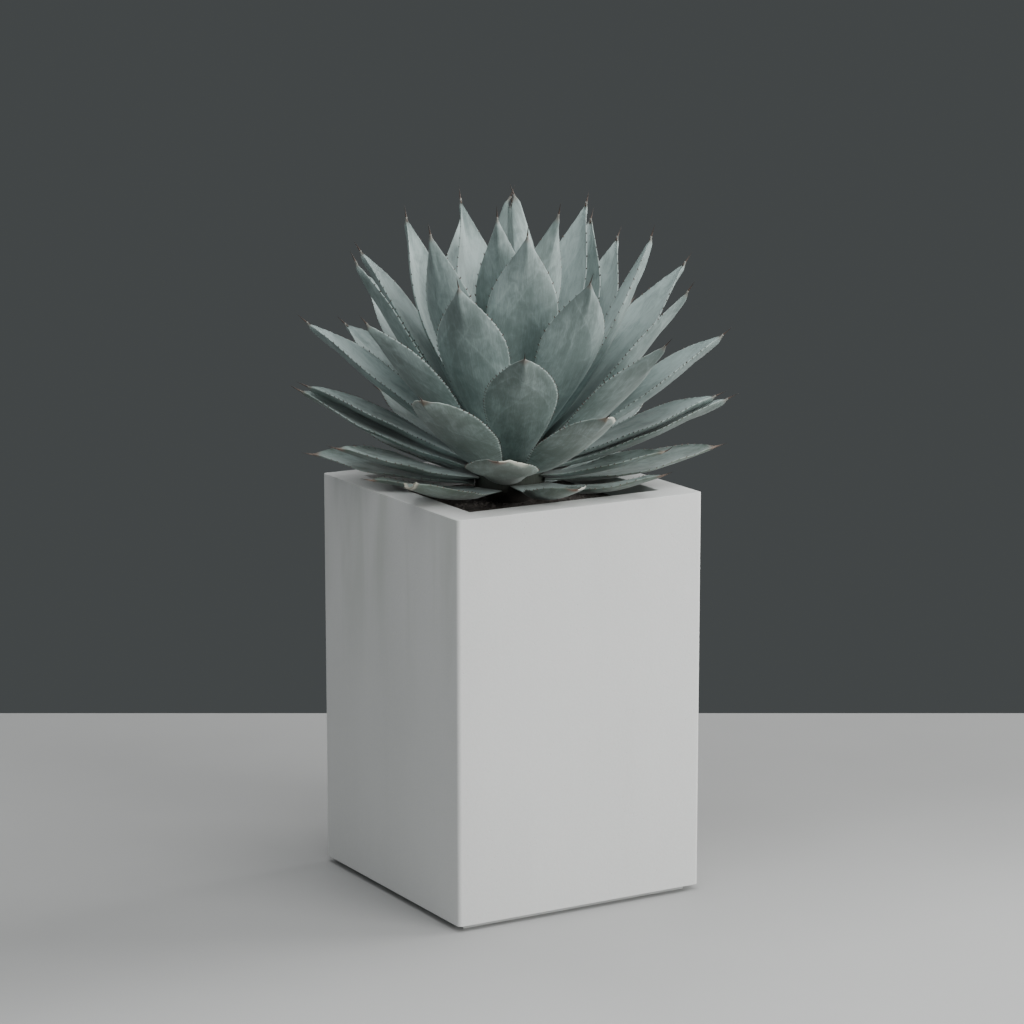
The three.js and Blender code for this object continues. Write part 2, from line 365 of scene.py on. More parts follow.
@dataclass(frozen=True)
class Horn:
    """Dry brown horn of teeth and end spines, paler towards the root."""

    dark: Colour = (0.028, 0.022, 0.018)
    warm: Colour = (0.090, 0.062, 0.050)
    bleached: Colour = (0.27, 0.20, 0.16)
    grain_cells: float = 900.0
    depth: float = 0.4 * MM

    def make(self) -> bpy.types.Material:
        """The material, darker along each spike and more bleached on old leaves."""
        f = Finish("horn", Roughness=0.45, Specular_IOR_Level=0.4)
        along = f.attribute("state")[1]
        grain = f.noise(f.node("NewGeometry", None, None, "Position"), self.grain_cells)
        root = f.blend(along.output("Blue") * 1.1, self.warm, self.bleached)
        tone = along + (grain - 0.5) * 0.5
        f.drive("Base Color", f.blend(tone.step(0.15, 0.85), root, self.dark))
        f.drive("Roughness", 0.38 + grain * 0.2)
        f.relief(grain, self.depth, 0.4)
        return f.material


@dataclass(frozen=True)
class CastStone:
    """Pale grey cast composite: matt, faintly clouded and pitted, with runs down its faces.

    One side is stained higher up. Cells are counted for each metre.
    """

    body: Colour = (0.545, 0.560, 0.552)
    shade: Colour = (0.440, 0.455, 0.448)
    edge_wear_and_highlight: Colour = (0.66, 0.665, 0.655)
    stain: Colour = (0.375, 0.405, 0.365)
    cloud_cells: float = 5.5
    grain_cells: float = 420.0
    pit_cells: float = 210.0
    run_cells: tuple[float, float, float] = (17, 17, 1.3)
    stain_cells: tuple[float, float, float] = (21, 21, 2.6)
    stained_side: tuple[float, float] = (-157 * MM, -160 * MM)
    stained_height: tuple[float, float] = (200 * MM, 460 * MM)
    depth: float = 0.9 * MM

    def make(self) -> bpy.types.Material:
        """The material, on Object coordinates and the edge attribute."""
        f = Finish("cast_stone", Roughness=0.6, Specular_IOR_Level=0.35)
        place = f.place()
        edge_wear_and_highlight = f.node("Attribute", {"attribute_name": "edge"}, None, "Fac")
        clouds = f.noise(place, self.cloud_cells, 5.0, 0.55, 0.4)
        runs = f.noise(f.stretch(place, self.run_cells), 1.0)
        grain = f.noise(place, self.grain_cells, 3.0, 0.6)
        pits = f.node("TexVoronoi", {"feature": "F1"}, {"Vector": place, "Scale": self.pit_cells})
        pit = pits.step(0.16, 0.05) * f.noise(place, 60.0, 1.0).step(0.50, 0.66)
        tone = (clouds - 0.5) * 1.3 + (runs - 0.5) * 1.1 + (grain - 0.5) * 0.35 + 0.30
        colour = f.blend(tone.step(-0.2, 1.1), self.body, self.shade)
        # the rounded edges paler, partly wear and partly a painted highlight
        colour = f.blend(edge_wear_and_highlight * (0.35 + grain * 0.5), colour, self.edge_wear_and_highlight)
        # painted shade: the pits darker
        colour = f.blend(pit * 0.6, colour, self.shade)
        axes = f.node("SeparateXYZ", None, {0: place})
        stain = f.noise(f.stretch(place, self.stain_cells), 1.0, warp=0.5).step(0.38, 0.75)
        stained = axes.step(*self.stained_side) * axes.output("Z").step(*self.stained_height)
        colour = f.blend(stain * stained * 0.6, colour, self.stain)
        f.drive("Base Color", colour)
        f.drive("Roughness", 0.50 + clouds * 0.14 + grain * 0.1)
        f.relief(grain * 0.30 + clouds * 0.9 + runs * 0.4 - pit * 0.8, self.depth, 0.5)
        return f.material


@dataclass(frozen=True)
class PottingMix:
    """Dark, crumbly potting mix with a few paler fibres."""

    peat: Colour = (0.080, 0.074, 0.070)
    crumb: Colour = (0.17, 0.15, 0.135)
    fibre: Colour = (0.20, 0.16, 0.12)
    lump_cells: float = 130.0
    crumb_cells: float = 330.0
    thread_cells: tuple[float, float, float] = (700, 130, 400)
    depth: float = 2.5 * MM

    def make(self) -> bpy.types.Material:
        """The material, on Object coordinates."""
        f = Finish("potting_mix", Roughness=0.95, Specular_IOR_Level=0.15)
        place = f.place()
        lumps = f.noise(place, self.lump_cells, 5.0, 0.65)
        crumbs = f.node("TexVoronoi", {"feature": "F1"},
                        {"Vector": place, "Scale": self.crumb_cells})
        threads = f.noise(f.stretch(place, self.thread_cells), 1.0, 2.0)
        colour = f.blend(lumps.step(0.35, 0.75), self.peat, self.crumb)
        colour = f.blend(threads.step(0.68, 0.80) * 0.7, colour, self.fibre)
        f.drive("Base Color", colour)
        f.drive("Roughness", 0.85 + lumps * 0.15)
        f.relief(lumps + crumbs * 0.5, self.depth, 0.8)
        return f.material


@dataclass(frozen=True)
class StumpSkin:
    """Dark, fibrous skin of the stump, brown below and dull green between the leaf bases."""

    green: Colour = (0.030, 0.040, 0.030)
    brown: Colour = (0.028, 0.025, 0.021)
    fibre_cells: tuple[float, float, float] = (420, 420, 24)
    patch_cells: float = 45.0
    greening: tuple[float, float] = (462 * MM, 490 * MM)
    depth: float = 1.6 * MM

    def make(self) -> bpy.types.Material:
        """The material, on Object coordinates."""
        f = Finish("stump_skin", Roughness=0.75)
        place = f.place()
        fibres = f.noise(f.stretch(place, self.fibre_cells), 1.0, 4.0, 0.6)
        patches = f.noise(place, self.patch_cells, 4.0)
        height = f.node("SeparateXYZ", None, {0: place}, "Z")
        colour = f.blend(height.step(*self.greening) * (0.4 + patches), self.brown, self.green)
        f.drive("Base Color", f.blend(fibres.step(0.55, 0.75) * 0.6, colour, self.brown))
        f.drive("Roughness", 0.65 + fibres * 0.25)
        f.relief(fibres + patches * 0.6, self.depth, 0.7)
        return f.material


@dataclass(frozen=True)
class PaleFloor:
    """Plain pale floor, painted lighter towards its front as a painted pool of light."""

    tone: Colour = (0.258, 0.261, 0.259)
    lighter: float = 1.82
    front: tuple[float, float] = (0.1, -0.65)

    def make(self) -> bpy.types.Material:
        """The material, with a very faint unevenness."""
        f = Finish("pale_floor", Roughness=0.75, Specular_IOR_Level=0.25)
        place = f.place()
        cloud = f.noise(place, 3.0)
        front = f.node("SeparateXYZ", None, {0: place}, "Y").step(*self.front)
        light = tuple(c * self.lighter for c in self.tone)
        # painted light: lighter towards the front, with a faint unevenness
        f.drive("Base Color", f.blend(front * 0.8 + cloud * 0.2, self.tone, light))
        return f.material


# ---- helpers --------------------------------------------------------------------------------


def mix(low: float, high: float, share: float) -> float:
    """A value between two."""
    return low + (high - low) * share


def step(value: float, low: float, high: float) -> float:
    """A smooth step from 0 at low to 1 at high; low may be the greater one."""
    k = min(1.0, max(0.0, (value - low) / (high - low)))
    return k * k * (3.0 - 2.0 * k)


def finish_piece(bm: bmesh.types.BMesh, name: str, materials: Iterable[bpy.types.Material],
                 nodes: Sequence[str], sharp: float) -> bpy.types.Object:
    """Turn a bmesh into a shown piece of the object.

    Args:
        bm: the finished mesh, freed here.
        name: the piece's name.
        materials: its materials, in slot order.
        nodes: the CAD nodes that it stands for.
        sharp: edges steeper than this many degrees stay crisp.

    Returns:
        The new object.
    """
    mesh = bpy.data.meshes.new(name)
    bm.to_mesh(mesh)
    bm.free()
    mesh.shade_smooth()
    mesh.set_sharp_from_angle(angle=math.radians(sharp))
    for material in materials:
        mesh.materials.append(material)
    piece = bpy.data.objects.new(name, mesh)
    bpy.context.scene.collection.objects.link(piece)
    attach(piece, "root")
    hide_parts(*nodes)
    return piece


# ---- planter, soil and stump ----------------------------------------------------------------


@dataclass
class Planter:
    """The cast planter: square box, flat lip, softly rounded edges and a recessed plinth.

    A point nearer than near to the outside counts as on it, and edges steeper than crisp degrees
    stay crisp.
    """

    side: float = 322 * MM
    height: float = 468 * MM
    plinth: float = 7 * MM
    plinth_inset: float = 13 * MM
    wall: float = 36.5 * MM
    floor: float = 36 * MM
    round_upright: float = 4.6 * MM
    round_edge: float = 3.2 * MM
    round_inner: float = 1.6 * MM
    near: float = 6 * MM
    crisp: float = 32.0

    @property
    def rim(self) -> float:
        """Height of the lip."""
        return self.plinth + self.height

    def build(self, stone: bpy.types.Material) -> bpy.types.Object:
        """Model and dress the planter.

        Args:
            stone: its finish.

        Returns:
            The planter.
        """
        bm = bmesh.new()
        size = Vector((self.side, self.side, self.height))
        place = Matrix.Translation((0, 0, self.plinth + self.height / 2))
        bmesh.ops.create_cube(bm, size=1.0, matrix=place @ Matrix.Diagonal((*size, 1.0)))
        self._recess(bm, 1.0, self.wall, self.floor - self.height)
        self._recess(bm, -1.0, self.plinth_inset, -self.plinth)
        edge = bm.verts.layers.float.new("edge")
        rounds = (
            (self.round_upright, 5, self._upright),
            (self.round_edge, 4, self._outer_edge),
            (self.round_inner, 3, self._inner_edge),
        )
        for width, segments, wanted in rounds:
            chosen = [e for e in bm.edges if wanted(e.verts[0].co, e.verts[1].co)]
            made = bmesh.ops.bevel(
                bm, geom=chosen, offset=width, offset_type="OFFSET", segments=segments,
                profile=0.5, affect="EDGES", material=-1, clamp_overlap=True)
            for vert in made["verts"]:
                vert[edge] = 1.0
        bmesh.ops.recalc_face_normals(bm, faces=bm.faces[:])
        return finish_piece(bm, "planter_cast", [stone], ["planter"], self.crisp)

    @staticmethod
    def _recess(bm: bmesh.types.BMesh, way: float, inset: float, depth: float) -> None:
        """Inset the top or bottom face and push the inner one along its normal by depth."""
        cap = max(bm.faces, key=lambda f: f.normal.z * way * 10 + f.calc_center_median().z * way)
        bmesh.ops.inset_individual(bm, faces=[cap], thickness=inset, use_even_offset=True)
        moved = bmesh.ops.extrude_face_region(bm, geom=[cap])
        verts = [g for g in moved["geom"] if isinstance(g, bmesh.types.BMVert)]
        bmesh.ops.translate(bm, verts=verts, vec=(0, 0, depth))
        if cap.is_valid:
            bmesh.ops.delete(bm, geom=[cap], context="FACES")

    def _outer(self, *points: Vector) -> bool:
        """True where all points are on the outer faces."""
        return all(max(abs(p.x), abs(p.y)) > self.side / 2 - self.near for p in points)

    def _upright(self, a: Vector, b: Vector) -> bool:
        """True for an upright outer edge."""
        at_corner = min(abs(a.x), abs(a.y)) > self.side / 2 - self.near
        return at_corner and self._outer(a, b) and abs(a.z - b.z) > self.height / 2

    def _outer_edge(self, a: Vector, b: Vector) -> bool:
        """True for a level edge round the outer faces, above the plinth."""
        return self._outer(a, b) and abs(a.z - b.z) < MM and a.z > self.plinth - MM

    def _inner_edge(self, a: Vector, b: Vector) -> bool:
        """True for an edge of the lip round the opening."""
        return max(abs(a.z - self.rim), abs(b.z - self.rim)) < MM and not self._outer(a)


@dataclass
class SoilBed:
    """Potting mix: a block that fills the planter, with a mound, lumps and loose crumbs on top."""

    side: float = 248.4 * MM
    low: float = 43.3 * MM
    top: float = 451 * MM
    mound: float = 5 * MM
    mound_foot: float = 120 * MM
    mound_head: float = 50 * MM
    lump: float = 1.5 * MM
    lump_cells: float = 60.0
    settled: float = 0.4 * MM
    border: float = 4 * MM
    cuts: int = 110
    crumbs: int = 900
    crumb: tuple[float, float] = (0.6 * MM, 2.1 * MM)
    large: float = 1.6
    crisp: float = 60.0

    def level(self, x: float, y: float) -> float:
        """Height of the surface above the bed's top at a place."""
        mound = self.mound * step(math.hypot(x, y), self.mound_foot, self.mound_head)
        spot = Vector((x, y, 0.3)) * self.lump_cells
        lumps = noise.fractal(spot, 1.0, 2.2, 4) * self.lump
        side = self.side / 2
        inside = step(max(abs(x), abs(y)), side, side - self.border)
        return mound + (lumps - self.settled) * inside

    def build(self, mix_finish: bpy.types.Material) -> bpy.types.Object:
        """Model and dress the bed.

        Args:
            mix_finish: the potting mix.

        Returns:
            The bed.
        """
        bm = bmesh.new()
        size = (self.side, self.side, self.top - self.low, 1.0)
        place = Matrix.Translation((0, 0, (self.top + self.low) / 2))
        bmesh.ops.create_cube(bm, size=1.0, matrix=place @ Matrix.Diagonal(size))
        rim = [e for e in bm.edges if min(v.co.z for v in e.verts) > self.top - MM]
        bmesh.ops.subdivide_edges(bm, edges=rim, cuts=self.cuts, use_grid_fill=True)
        for vert in bm.verts:
            if vert.co.z > self.top - MM:
                vert.co.z += self.level(vert.co.x, vert.co.y)
        draw = random.Random(11)
        for _ in range(self.crumbs):
            self._crumb(bm, draw)
        return finish_piece(bm, "soil_bed", [mix_finish], ["soil"], self.crisp)

    def _crumb(self, bm: bmesh.types.BMesh, draw: random.Random) -> None:
        """Add one loose crumb at a drawn place; about one in seven is a large one."""
        x, y = (draw.uniform(-0.485, 0.485) * self.side for _ in range(2))
        radius = draw.uniform(*self.crumb) * (1.0 if draw.random() < 0.85 else self.large)
        shape = Matrix.Diagonal((1.0, draw.uniform(0.5, 1.0), draw.uniform(0.5, 0.9), 1.0))
        turn = Matrix.Rotation(draw.uniform(0, math.tau), 4, "Z")
        tilt = Matrix.Rotation(draw.uniform(-0.6, 0.6), 4, "X")
        spot = Matrix.Translation((x, y, self.top + self.level(x, y) + radius * 0.2))
        bmesh.ops.create_icosphere(bm, subdivisions=1, radius=radius,
                                   matrix=spot @ turn @ tilt @ shape)


@dataclass
class Stump:
    """The short stem that carries the leaf bases.

    Its head follows the leaves' starts at a few seats, from 0 for the lowest leaf to 1 for the bud.
    """

    low: float = 396 * MM
    radius: float = 25 * MM
    foot: float = 4 * MM
    neck: float = 17 * MM
    cap: float = 3 * MM
    gap: float = 0.3 * MM
    segments: int = 40
    seats: tuple[float, ...] = (
        0, 0.15, 0.3, 0.4, 0.5, 0.58, 0.65, 0.72, 0.78, 0.83, 0.88, 0.92, 0.95, 1)
    crisp: float = 60.0

    def build(self, rosette: "Rosette", skin: bpy.types.Material) -> bpy.types.Object:
        """Model and dress the stump.

        Args:
            rosette: gives where the leaves start.
            skin: its finish.

        Returns:
            The stump.
        """
        profile = [(0.0, self.low), (self.radius - self.foot, self.low),
                   (self.radius, self.low + self.foot), (self.radius, rosette.rim - self.neck)]
        for out, height in map(rosette.base, self.seats):
            profile.append((out - self.gap, rosette.rim + height))
        profile.append((0.0, rosette.rim + rosette.base_high + self.cap))
        bm = bmesh.new()
        verts = [bm.verts.new((r, 0, z)) for r, z in profile]
        edges = [bm.edges.new(pair) for pair in zip(verts, verts[1:])]
        bmesh.ops.spin(bm, geom=verts + edges, cent=(0, 0, 0), axis=(0, 0, 1), angle=math.tau,
                       steps=self.segments, use_merge=True)
        bmesh.ops.remove_doubles(bm, verts=bm.verts[:], dist=0.01 * MM)
        bmesh.ops.recalc_face_normals(bm, faces=bm.faces[:])
        return finish_piece(bm, "stump", [skin], ["stem"], self.crisp)


# ---- leaves ---------------------------------------------------------------------------------


class Ending(Enum):
    """How a leaf ends."""

    PLAIN = "straight spine"
    RAGGED = "blunt, dried and broken off"
    ROLLED_LEFT = "left margin rolled outwards near the tip"
    ROLLED_RIGHT = "right margin rolled outwards near the tip"
    LAID_RIGHT = "right margin laid flat from the middle on"
    HOOKED = "dried spine that hooks upwards"


@dataclass(frozen=True)
class LeafPlan:
    """Size and stand of a leaf, in the order of a row: degrees and millimetres.

    Turn is the way that it points round the axis, rise its slope at mid length and bend the change
    of slope along it. A greater taper ends more slenderly. Sway moves its middle aside, and roll
    twists it about its own length.
    """

    turn: float
    rise: float
    bend: float
    length: float
    width: float
    taper: float
    sway: float = 0.0
    roll: float = 0.0
    end: Ending = Ending.PLAIN


LOW_LEAVES = 14
# from the lowest leaf to the bud, sized as the solids are; only the last two lean further inwards
PLANS: tuple[LeafPlan, ...] = tuple(LeafPlan(*row) for row in (
    (201, 9, 12, 143, 50, 1, 2, 4),
    (34, 6, 0, 180, 60, 1.1),
    (235, 10, 22, 162, 62, 0.6, 0, 0, Ending.RAGGED),
    (100, 6, 0, 190, 60, 1.1),
    (179, 9.5, -2, 202, 70, 1, 4, -14),
    (328, 10.5, 32, 180, 54, 1, -3),
    (295, 9.5, 34, 150, 64, 0.7, 0, 0, Ending.ROLLED_RIGHT),
    (60, 7, -4, 195, 62, 1.1),
    (149, 15, 3, 196, 66, 1.1, 4, -3),
    (-2, 11, 18, 214, 74, 1, -4, 7),
    (267, 17, 4, 222, 84, 0.75, 0, 0, Ending.LAID_RIGHT),
    (192, 13.5, 12, 178, 76, 0.9, 8),
    (84, 14, -6, 218, 76, 1.1),
    (345, 13.5, 18, 159, 54, 1, -1, 6, Ending.HOOKED),
    (134, 20, -4, 210, 74, 1.1),
    (46, 15.5, -6, 219, 76, 1.1),
    (180, 24.5, 7, 234, 84, 1.1, 1, -8),
    (296, 26, 12, 234, 88, 0.8, 4, 6, Ending.ROLLED_RIGHT),
    (357, 21.5, 14, 239, 82, 1.1),
    (247, 29.5, 14, 247, 94, 0.75, 2, -6, Ending.ROLLED_LEFT),
    (112, 24, -6, 236, 84, 1.1),
    (66, 28, -6, 240, 84, 1.1),
    (180, 24.5, -2, 226, 78, 1.05, 6),
    (274, 40, 4, 253, 84, 0.9, 2),
    (0, 21, 9, 225, 78, 1.1, -7, 4),
    (317, 39, 10, 263, 82, 1.05, 8, 4),
    (91, 32, -6, 248, 84, 1.2),
    (146, 34.5, 1, 252, 84, 1.15, 6, -6),
    (222, 45, 2, 261, 82, 1.15, -3, -3),
    (2, 34, 14, 263, 86, 1.1, -5, 5),
    (109, 40, -4, 252, 84, 1.2),
    (178, 37.5, 6, 261, 78, 1.2, 2, -6),
    (48, 40, -6, 246, 84, 1.2),
    (344, 48.5, 16, 273, 78, 1.2, 1, 4),
    (252, 56, 7, 269, 86, 1.15, -5),
    (141, 45, -2, 274, 84, 1.15, 14),
    (194, 57, 13, 278, 62, 1.15, -2),
    (21, 48, 10, 288, 74, 1.2, -8, 11),
    (82, 49, -4, 256, 84, 1.2),
    (300, 56, 7, 264, 82, 1.1, 13, -5),
    (163, 55.5, 0, 275, 78, 1.1, 8, 4),
    (46, 56.5, 10, 280, 72, 1.2, -16),
    (229, 68, 13, 285, 78, 1.15, -5),
    (359, 61.5, 27, 285, 68, 1.2, -2, 6),
    (90, 56, 0, 262, 56, 1.25, 3),
    (279, 69, 4, 280, 84, 1.15, 1, -3),
    (174, 70.5, 25, 283, 76, 1.15, 0, -22),
    (114, 66, 3, 278, 76, 1.2, 12, -5),
    (50, 63.5, 11, 278, 74, 1.05, -16, 2),
    (303, 73.5, 3, 288, 68, 1.15, -9),
    (125, 73.5, 9, 285, 72, 1.3, -3, 10),
    (41, 69.5, 8, 287, 70, 1.2, -2, 7),
    (261, 74.5, 4, 280, 64, 1.2, 1),
    (79, 92, 46, 279, 66, 1),
    (210, 94.2, 46, 287, 80, 1),
    (330, 91.4, 50, 288, 86, 1),
))


@dataclass(frozen=True)
class Ring:
    """A leaf's section at one place: where it is, which way it runs and how big it is."""

    centre: Vector
    along: Vector
    normal: Vector
    side: Vector
    half: float
    bow: float
    thick: float
    share: float
    travel: float
    humps: tuple[float, float]


@dataclass(frozen=True)
class Spike:
    """A tooth or an end spine: its root, its directions scaled to its size, and its hook."""

    root: Vector
    across: Vector
    through: Vector
    out: Vector
    hook: Vector
    sunk: float
    sides: int = 6

    def point(self, x: float, y: float, height: float) -> Vector:
        """A point of the spike.

        Args:
            x: place across, from -1 to 1.
            y: place through, from -1 to 1.
            height: share of the whole length, with what is sunk in the blade.

        Returns:
            The point.
        """
        free = max(0.0, height - self.sunk)
        return (self.root + self.across * x + self.through * y
                + self.out * (height - self.sunk) + self.hook * free * free)


@dataclass(frozen=True)
class ToothForm:
    """A margin tooth's proportions, as shares of its size."""

    along: float = 0.52
    through: float = 0.36
    out: float = 1.35
    hook: float = 0.9
    sunk: float = 0.3


@dataclass
class Leaf:
    """One leaf: a channelled blade with margin teeth on small humps, and an end spine.

    A share is of the blade's length from its base, and across is from -1 at the left margin to 1
    at the right. The seat is 0 for the lowest leaf and 1 for the last one of the bud. Age is 1 on
    the lowest leaf and fades inwards, and green does so further in.
    """

    number: int
    plan: LeafPlan
    seat: float
    base: tuple[float, float]
    around: float
    spine: float = 12 * MM
    spine_radius: float = 1.25 * MM
    buried: float = 5 * MM
    hook: float = 9 * MM
    tooth: tuple[float, float] = (1.5 * MM, 2.2 * MM)
    tooth_form: ToothForm = ToothForm()
    margin: float = 0.75 * MM
    widest: float = 0.62
    base_breadth: float = 0.38
    clasp: float = 0.2
    clasp_end: float = 0.22
    root_thick: float = 4.4 * MM
    body_thick: float = 8.5 * MM
    end_thick: float = 3.0 * MM
    body_start: float = 0.25
    thick_width: float = 80 * MM
    most_wrap: float = 2.2
    fold: tuple[float, float] = (0.5, 0.75)
    tear: float = 0.93
    hump_half: float = 2.3 * MM
    crease: float = 2.6 * MM
    crease_half: float = 2.3 * MM
    wave: float = 1.3 * MM
    wave_cells: tuple[float, float] = (26, 15)
    ripple_cells: float = 34.0
    frill_cells: float = 260.0
    flare: float = 0.1
    torn_depth: float = 2.5 * MM
    torn_slant: float = 11 * MM
    no_print: float = 30.0
    bud_rise: float = 85.0
    rows: int = 140
    columns: int = 18
    crisp: float = 100.0
    spike_steps: tuple[tuple[float, float], ...] = (
        (0.15, 0.95), (0.35, 0.8), (0.55, 0.58), (0.75, 0.34), (0.9, 0.15), (1.0, 0.03))
    draw: random.Random = field(init=False)

    def __post_init__(self) -> None:
        """Draw the leaf's own small differences and work out its lengths."""
        self.draw = random.Random(500 + self.number)
        self.phase = self.draw.uniform(0, 40)
        self.age = step(self.seat, 1 / 2.6, 0.0)
        self.green = step(self.seat, 0.6, 0.1)
        self.torn = self.plan.end is Ending.RAGGED
        self.in_bud = self.plan.rise > self.bud_rise
        self.length = self.plan.length * MM
        self.blade = self.length - (3 * MM if self.torn else self.spine)
        self.prints = [(self.draw.uniform(9, 19) * way * MM, self.draw.uniform(22, 60) * MM)
                       for way in (-1, 1)]
        self.toothed = self.tooth_places()

    def by_seat(self, low: float, middle: float, inner: float, full: float) -> float:
        """A measure that differs between the low, the middle and the inner leaves.

        Args:
            low: its value on the lowest leaves.
            middle: its value on the leaves of middle height.
            inner: its value on the inner leaves.
            full: the seat from which a leaf has the inner value.

        Returns:
            This leaf's value.
        """
        outer = mix(low, middle, step(self.seat, 0.25, 0.37))
        return mix(outer, inner, step(self.seat, 0.45, full))

    # -- shape --

    def breadth(self, share: float) -> float:
        """Half the width at a share of the blade, as a share of its greatest."""
        if share < self.widest:
            clasped = self.plan.end is not Ending.LAID_RIGHT
            clasp = self.clasp * step(share, self.clasp_end, 0.0) if clasped else 0.0
            swell = 0.5 - 0.5 * math.cos(math.pi * share / self.widest)
            return clasp + mix(self.base_breadth, 1.0, swell)
        rest = max(0.0, (1.0 - share) / (1.0 - self.widest))
        return math.sin(math.pi / 2 * rest ** self.plan.taper)

    def middle(self, travel: float) -> tuple[float, float, float]:
        """The middle line at a distance from the base.

        Args:
            travel: the distance along it.

        Returns:
            Distance from the axis, height, and slope in radians.
        """
        out, height = self.base
        rise, bend, steps = self.plan.rise, self.plan.bend, 12
        for i in range(steps):
            slope = math.radians(rise + bend * ((i + 0.5) / steps * travel / self.length - 0.5))
            out += math.cos(slope) * travel / steps
            height += math.sin(slope) * travel / steps
        return out, height, math.radians(rise + bend * (travel / self.length - 0.5))

    def half_width(self, share: float, out: float) -> float:
        """Half the width of a section.

        Args:
            share: the section's share.
            out: its distance from the axis, which the bud's leaves don't pass.

        Returns:
            Half its width.
        """
        breadth = self.breadth(min(share, self.tear) if self.torn else share)
        half = max(0.8 * self.spine_radius, self.plan.width * MM / 2 * breadth)
        return min(half, max(0.9 * out, self.spine_radius)) if self.in_bud else half

    def bow(self, share: float, half: float, out: float, slope: float) -> float:
        """How far a section is bent round from its middle to a margin.

        Args:
            share: the section's share.
            half: half its width.
            out: its distance from the axis, round which a steep leaf wraps.
            slope: its slope in radians.

        Returns:
            The bend in radians.
        """
        wrap = min(self.most_wrap, half * math.sin(max(slope, 0.02)) / max(out, 4 * MM))
        fold = mix(*self.fold, step(share, 0.6, 1.0))
        if not self.torn:
            fold *= 1 - 0.8 * step(share, 0.95, 1.0)
        return max(wrap, mix(wrap, fold, step(share, 0.08, 0.53)))

    def thickness(self, share: float) -> float:
        """The thickness in the middle of a section."""
        if share < self.body_start:
            thick = mix(self.root_thick, self.body_thick, step(share, 0.0, self.body_start))
        else:
            thick = mix(self.body_thick, self.end_thick, step(share, self.body_start, 0.95))
        thick *= min(1.0, self.plan.width * MM / self.thick_width)
        if self.torn:
            return thick
        return mix(thick, min(thick, 1.6 * self.spine_radius), step(share, 0.93, 1.0))

    def ring(self, share: float) -> Ring:
        """The section at a share of the blade."""
        travel = share * self.blade
        out, height, slope = self.middle(travel)
        away = Vector((math.cos(self.around), math.sin(self.around), 0))
        aside = Vector((-math.sin(self.around), math.cos(self.around), 0))
        up = Vector((0, 0, 1))
        part = travel / self.length
        sway = 4 * self.plan.sway * MM * part * (1 - part)
        along = away * math.cos(slope) + up * math.sin(slope)
        twist = Matrix.Rotation(math.radians(self.plan.roll) * step(share, 0.0, 0.6), 3, along)
        half = self.half_width(share, out)
        return Ring(away * out + up * height + aside * sway, along,
                    twist @ (up * math.cos(slope) - away * math.sin(slope)), twist @ aside,
                    half, self.bow(share, half, out, slope), self.thickness(share), share, travel,
                    tuple(self.hump(travel, places) for places in self.toothed))

    def hump(self, travel: float, places: Sequence[float]) -> float:
        """How far a margin stands out under its teeth, at a distance from the base."""
        nearest = min((abs(travel - place) for place in places), default=1.0)
        height = self.by_seat(0.6 * MM, 1.3 * MM, 0.4 * MM, 0.85)
        return height * (math.exp(-((nearest / self.hump_half) ** 2)) - 0.33)

    def point(self, ring: Ring, across: float, depth: float) -> Vector:
        """A point of a section.

        Args:
            ring: the section.
            across: from -1 at one margin to 1 at the other.
            depth: 0 on the upper face, 1 on the lower.

        Returns:
            The point.
        """
        blunt = step(ring.share, 0.99, 0.94)
        reach = ring.half + ring.humps[across > 0] * abs(across) ** 6 * blunt
        turn = ring.bow * across
        aside = reach * math.sin(turn) / ring.bow
        lift = reach * (1 - math.cos(turn)) / ring.bow
        deep = depth * mix(min(self.margin, ring.thick), ring.thick, 1 - across * across)
        place = (ring.centre + ring.side * (aside + deep * math.sin(turn))
                 + ring.normal * (lift - deep * math.cos(turn)))
        return place + ring.normal * self.unevenness(ring, across) + self.ending(ring, across)

    def unevenness(self, ring: Ring, across: float) -> float:
        """Soft waves, a crease just under the tip and a livelier margin on old leaves."""
        aside, share = across * ring.half, ring.share
        crease = self.crease * math.exp(-((aside / self.crease_half) ** 2))
        crease *= step(share, 0.74, 0.88) * step(share, 1.0, 0.96) * step(self.seat, 0.2, 0.35)
        wide, long = self.wave_cells
        wave = noise.noise(Vector((aside * wide, ring.travel * long, self.phase))) * self.wave
        wave *= step(share, 0.0, 0.3) * step(share, 1.0, 0.8)
        lively = (0.3 + (0.3 if self.torn else 2.1) * self.age) * MM
        run = ring.travel * self.ripple_cells
        ripple = noise.noise(Vector((self.phase, run, across * 0.8))) * lively
        ripple *= abs(across) ** 3 * step(share, 0.1, 0.4) * step(share, 1.0, 0.85)
        if self.plan.end is not Ending.PLAIN:
            return wave + ripple - crease
        flare = self.flare * ring.half * step(abs(across), 0.5, 1.0) * step(self.seat, 0.47, 0.42)
        flare *= step(share, 0.1, 0.4) * step(share, 0.98, 0.88)
        return wave + ripple - crease - flare

    def ending(self, ring: Ring, across: float) -> Vector:
        """How the leaf's own ending moves a point."""
        end, share = self.plan.end, ring.share
        if end is Ending.LAID_RIGHT:
            laid = step(share, 0.35, 0.65) * step(share, 1.0, 0.9)
            drop = 0.25 * step(across, 0.0, 1.0) + 0.18 * step(across, 0.0, -1.0)
            return ring.normal * (-drop * laid * ring.half)
        if end in (Ending.ROLLED_LEFT, Ending.ROLLED_RIGHT):
            way = 1 if end is Ending.ROLLED_RIGHT else -1
            roll = step(share, 0.74, 0.88) * step(across * way, 0.3, 1.0)
            frill = 1 + 0.7 * noise.noise(Vector((ring.travel * self.frill_cells, self.phase, 0)))
            return (ring.normal * -0.13 - ring.side * 0.04 * way) * roll * ring.half * frill
        if end is Ending.RAGGED:
            torn = noise.noise(Vector((across * 6, self.phase, 0))) * self.torn_depth
            slant = across * self.torn_slant * step(share, 0.55, 1.0)
            return ring.along * (torn * step(share, self.tear, 1.0) + slant)
        return Vector((0, 0, 0))

    # -- building --

